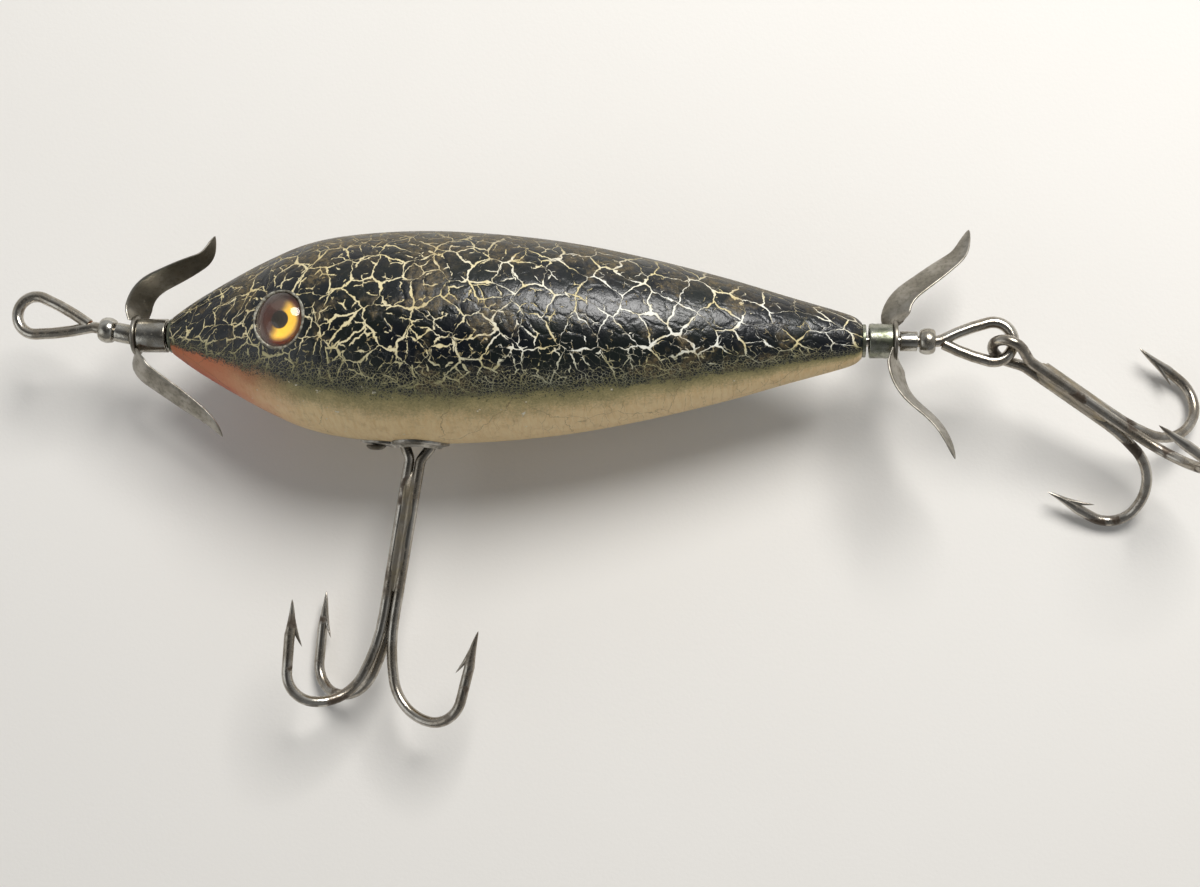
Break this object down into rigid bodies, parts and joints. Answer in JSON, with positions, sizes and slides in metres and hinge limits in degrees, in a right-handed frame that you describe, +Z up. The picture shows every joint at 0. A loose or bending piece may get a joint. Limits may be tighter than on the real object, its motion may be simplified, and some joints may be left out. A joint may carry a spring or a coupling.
{
  "type": "propeller minnow lure",
  "caption": "Wooden surface minnow with glass eyes, a spinning propeller at nose and tail, and treble hooks under the belly and behind the tail.",
  "frame": {"origin": "on the wire's centre line at the middle of the line tie's far arc, where the fishing line pulls", "axes": "+X from nose to tail along the body, +Y towards the lure's back, +Z up from the table as it lies on its right side, so its left side faces up"},
  "size_m": [0.159, 0.0669, 0.028],
  "materials": {
    "painted_wood": "cracked gloss enamel, black over cream",
    "eye_glass": "polished",
    "eye_paint": "painted",
    "eye_wire": "drawn wire",
    "lead": "cast",
    "eye_screw_wire": "tarnished nickel plate",
    "washer_plate": "tarnished nickel plate",
    "hanger_plate": "dull nickel plate",
    "screw_steel": "worn",
    "spinner_nickel": "tarnished nickel plate",
    "hook_steel": "tarnished, lightly rusted",
    "solder": "brazed, stained"
  },
  "bodies": {
    "lure": {"body": "painted_wood", "nose_washer": "washer_plate", "tail_washer": "washer_plate", "ballast_weight": "lead", "left_eye_glass": "eye_glass", "left_eye_iris": "eye_paint", "left_eye_pin": "eye_wire", "right_eye_glass": "eye_glass", "right_eye_iris": "eye_paint", "right_eye_pin": "eye_wire", "line_tie": "eye_screw_wire", "tail_eye": "eye_screw_wire", "belly_hanger": "hanger_plate", "hanger_screw": "screw_steel"},
    "front_propeller": {"front_hub": "spinner_nickel", "front_blades": "spinner_nickel"},
    "front_collar": {"front_collar": "spinner_nickel"},
    "front_bead": {"front_bead": "spinner_nickel"},
    "rear_propeller": {"rear_hub": "spinner_nickel", "rear_blades": "spinner_nickel"},
    "rear_collar": {"rear_collar": "spinner_nickel"},
    "rear_bead": {"rear_bead": "spinner_nickel"},
    "belly_treble": {"belly_treble_pair": "hook_steel", "belly_treble_single": "hook_steel", "belly_treble_solder": "solder"},
    "tail_treble": {"tail_treble_pair": "hook_steel", "tail_treble_single": "hook_steel", "tail_treble_solder": "solder"}
  },
  "joints": [
    {"name": "front_propeller_spin", "type": "hinge", "parent": "lure", "child": "front_propeller", "pos_m": [0.01379, -0.00264, 0], "axis": [1, 0, 0], "continuous": true},
    {"name": "front_collar_spin", "type": "hinge", "parent": "lure", "child": "front_collar", "pos_m": [0.01369, -0.00264, 0], "axis": [-0.982, 0.1891, 0], "continuous": true},
    {"name": "front_bead_spin", "type": "hinge", "parent": "lure", "child": "front_bead", "pos_m": [0.01369, -0.00264, 0], "axis": [-0.982, 0.1891, 0], "continuous": true},
    {"name": "rear_propeller_spin", "type": "hinge", "parent": "lure", "child": "rear_propeller", "pos_m": [0.11379, -0.00264, 0], "axis": [1, 0, 0], "continuous": true},
    {"name": "rear_collar_spin", "type": "hinge", "parent": "lure", "child": "rear_collar", "pos_m": [0.11379, -0.00264, 0], "axis": [1, 0, 0], "continuous": true},
    {"name": "rear_bead_spin", "type": "hinge", "parent": "lure", "child": "rear_bead", "pos_m": [0.11379, -0.00264, 0], "axis": [1, 0, 0], "continuous": true},
    {"name": "belly_treble_swing", "type": "hinge", "parent": "lure", "child": "belly_treble", "pos_m": [0.05229, -0.01614, -0.00166], "axis": [0, -0.1219, 0.9925], "range_deg": [-28, 46]},
    {"name": "tail_treble_swing", "type": "hinge", "parent": "lure", "child": "tail_treble", "pos_m": [0.12709, -0.00264, 0], "axis": [0, 0, 1], "range_deg": [-56, 120]}
  ]
}
